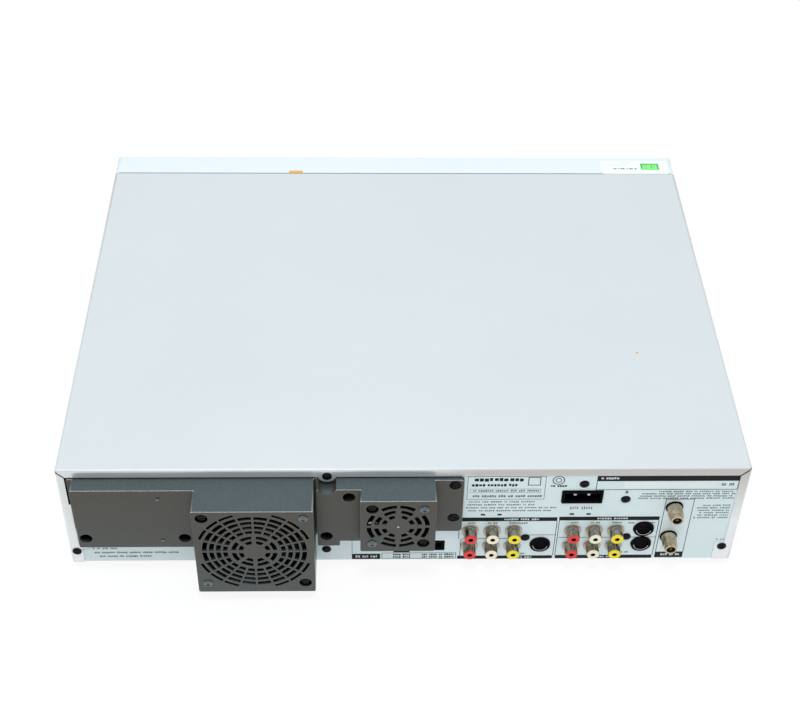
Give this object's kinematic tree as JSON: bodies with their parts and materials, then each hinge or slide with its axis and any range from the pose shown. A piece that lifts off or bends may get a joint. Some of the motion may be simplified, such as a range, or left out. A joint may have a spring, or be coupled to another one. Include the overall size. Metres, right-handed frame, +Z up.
{
  "type": "dvd vcr combo player",
  "caption": "Flat box player for discs and video cassettes, with a disc tray and a cassette door in front, and sockets and boxed cooling fans behind grilles at the rear.",
  "frame": {"origin": "on the floor, below the middle of the whole player", "axes": "+X to the right seen from the front, +Y towards the rear sockets, +Z up; the front face looks along -Y"},
  "size_m": [0.4326, 0.3601, 0.096],
  "materials": {
    "cover_sheet": "satin pale silver grey",
    "chassis_steel": "plain zinc-plated sheet",
    "rear_sheet": "satin pale grey",
    "front_plastic": "pale satin moulding",
    "trim_plastic": "pale glossy moulding",
    "key_plastic": "silver painted moulding",
    "window_plastic": "smoked, polished",
    "foot_rubber": "dull",
    "board_green": "lacquered board",
    "board_tan": "bare paper board",
    "coil_yellow": "taped coil",
    "sleeve_blue": "shrunk sleeves",
    "aluminium": "machined",
    "black_plastic": "dull moulding",
    "case_plastic": "fine-grained grey moulding",
    "fan_plastic": "dull moulding",
    "bright_steel": "nickel-plated",
    "black_steel": "blackened",
    "tinned_steel": "tinned sheet",
    "aerial_brass": "plated, slightly dull",
    "phono_red": "moulded",
    "phono_white": "moulded",
    "phono_yellow": "moulded",
    "grey_plastic": "moulded",
    "white_plastic": "natural moulding"
  },
  "bodies": {
    "cabinet": {"bottom_chassis": "chassis_steel", "top_cover": "cover_sheet", "rear_panel": "rear_sheet", "front_panel": "front_plastic", "feet": "foot_rubber", "display_window": "window_plastic", "front_board": "board_green", "main_board": "board_green", "power_board": "board_tan", "transformer": "coil_yellow", "power_capacitors": "sleeve_blue", "heat_sinks": "aluminium", "ac_inlet": "black_plastic", "ac_pins": "bright_steel", "phono_sleeves": "bright_steel", "phono_linings_red": "phono_red", "phono_linings_white": "phono_white", "phono_linings_yellow": "phono_yellow", "socket_blocks": "black_plastic", "svideo_sockets": "black_plastic", "tuner_can": "tinned_steel", "aerial_sockets": "aerial_brass", "large_fan_case": "case_plastic", "small_fan_case": "case_plastic", "large_fan_frame": "fan_plastic", "small_fan_frame": "fan_plastic", "black_screws": "black_steel", "silver_screws": "bright_steel", "deck_plate": "chassis_steel", "lower_drum": "aluminium", "tape_guides": "bright_steel", "drive_motors": "tinned_steel", "disc_drive_case": "tinned_steel", "disc_drive_lid": "tinned_steel", "guide_rods": "bright_steel", "front_sockets": "tinned_steel"},
    "large_fan": {"large_fan_rotor": "fan_plastic"},
    "small_fan": {"small_fan_rotor": "fan_plastic"},
    "cassette_door": {"cassette_door": "trim_plastic"},
    "cassette_carriage": {"cassette_carriage": "grey_plastic"},
    "cassette_holder": {"cassette_holder": "tinned_steel"},
    "supply_reel": {"supply_reel": "white_plastic"},
    "takeup_reel": {"takeup_reel": "white_plastic"},
    "upper_drum": {"upper_drum": "aluminium"},
    "capstan": {"capstan_flywheel": "tinned_steel"},
    "pinch_arm": {"pinch_arm": "grey_plastic"},
    "disc_tray": {"disc_tray": "black_plastic", "tray_front": "trim_plastic"},
    "tray_gear": {"tray_gear": "white_plastic"},
    "disc_turntable": {"disc_turntable": "black_plastic"},
    "laser_sled": {"laser_sled": "grey_plastic"},
    "front_flap": {"front_flap": "front_plastic"},
    "power_key": {"power_key": "key_plastic"},
    "tape_eject_key": {"tape_eject_key": "key_plastic"},
    "tape_stop_key": {"tape_stop_key": "key_plastic"},
    "tape_play_key": {"tape_play_key": "key_plastic"},
    "disc_open_key": {"disc_open_key": "key_plastic"},
    "disc_play_key": {"disc_play_key": "key_plastic"},
    "channel_down_key": {"channel_down_key": "key_plastic"},
    "channel_up_key": {"channel_up_key": "key_plastic"}
  },
  "joints": [
    {"name": "large_fan_spin", "type": "hinge", "parent": "cabinet", "child": "large_fan", "pos_m": [0.0933, 0.16905, 0.0519], "axis": [0, 1, 0], "continuous": true},
    {"name": "small_fan_spin", "type": "hinge", "parent": "cabinet", "child": "small_fan", "pos_m": [0.0045, 0.16355, 0.0655], "axis": [0, 1, 0], "continuous": true},
    {"name": "cassette_door_hinge", "type": "hinge", "parent": "cabinet", "child": "cassette_door", "pos_m": [-0.109, -0.17645, 0.0874], "axis": [1, 0, 0], "range_deg": [0, 88]},
    {"name": "carriage_slide", "type": "slide", "parent": "cabinet", "child": "cassette_carriage", "axis": [0, 1, 0], "range_m": [0, 0.048]},
    {"name": "holder_lower", "type": "slide", "parent": "cassette_carriage", "child": "cassette_holder", "axis": [0, 0, -1], "range_m": [0, 0.02]},
    {"name": "supply_reel_spin", "type": "hinge", "parent": "cabinet", "child": "supply_reel", "pos_m": [-0.1555, -0.05325, 0.033], "axis": [0, 0, 1], "continuous": true},
    {"name": "takeup_reel_spin", "type": "hinge", "parent": "cabinet", "child": "takeup_reel", "pos_m": [-0.0625, -0.05325, 0.033], "axis": [0, 0, 1], "continuous": true},
    {"name": "head_drum_spin", "type": "hinge", "parent": "cabinet", "child": "upper_drum", "pos_m": [-0.109, 0.04375, 0.033], "axis": [0, -0.0872, 0.9962], "continuous": true},
    {"name": "capstan_spin", "type": "hinge", "parent": "cabinet", "child": "capstan", "pos_m": [-0.047, 0.01775, 0.029], "axis": [0, 0, 1], "continuous": true},
    {"name": "pinch_arm_swing", "type": "hinge", "parent": "cabinet", "child": "pinch_arm", "pos_m": [-0.025, 0.03575, 0.034], "axis": [0, 0, 1], "range_deg": [0, 24]},
    {"name": "disc_tray_slide", "type": "slide", "parent": "cabinet", "child": "disc_tray", "axis": [0, -1, 0], "range_m": [0, 0.135]},
    {"name": "tray_gear_spin", "type": "hinge", "parent": "cabinet", "child": "tray_gear", "pos_m": [0.159, -0.14225, 0.065], "axis": [0, 0, -1], "range_deg": [0, 967]},
    {"name": "disc_spin", "type": "hinge", "parent": "cabinet", "child": "disc_turntable", "pos_m": [0.111, -0.10125, 0.064], "axis": [0, 0, 1], "continuous": true},
    {"name": "laser_sled_slide", "type": "slide", "parent": "cabinet", "child": "laser_sled", "axis": [0, 1, 0], "range_m": [0, 0.034]},
    {"name": "front_flap_hinge", "type": "hinge", "parent": "cabinet", "child": "front_flap", "pos_m": [0.153, -0.17685, 0.0197], "axis": [1, 0, 0], "range_deg": [0, 90]},
    {"name": "power_key_press", "type": "slide", "parent": "cabinet", "child": "power_key", "axis": [0, 1, 0], "range_m": [0, 0.0012], "stiffness_N_per_m": 400},
    {"name": "tape_eject_key_press", "type": "slide", "parent": "cabinet", "child": "tape_eject_key", "axis": [0, 1, 0], "range_m": [0, 0.0012], "stiffness_N_per_m": 400},
    {"name": "tape_stop_key_press", "type": "slide", "parent": "cabinet", "child": "tape_stop_key", "axis": [0, 1, 0], "range_m": [0, 0.0012], "stiffness_N_per_m": 400},
    {"name": "tape_play_key_press", "type": "slide", "parent": "cabinet", "child": "tape_play_key", "axis": [0, 1, 0], "range_m": [0, 0.0012], "stiffness_N_per_m": 400},
    {"name": "disc_open_key_press", "type": "slide", "parent": "cabinet", "child": "disc_open_key", "axis": [0, 1, 0], "range_m": [0, 0.0012], "stiffness_N_per_m": 400},
    {"name": "disc_play_key_press", "type": "slide", "parent": "cabinet", "child": "disc_play_key", "axis": [0, 1, 0], "range_m": [0, 0.0012], "stiffness_N_per_m": 400},
    {"name": "channel_down_key_press", "type": "slide", "parent": "cabinet", "child": "channel_down_key", "axis": [0, 1, 0], "range_m": [0, 0.0012], "stiffness_N_per_m": 400},
    {"name": "channel_up_key_press", "type": "slide", "parent": "cabinet", "child": "channel_up_key", "axis": [0, 1, 0], "range_m": [0, 0.0012], "stiffness_N_per_m": 400}
  ],
  "couplings": [
    {"joint": "tray_gear_spin", "follows": "disc_tray_slide", "rad_per_m": 125}
  ]
}
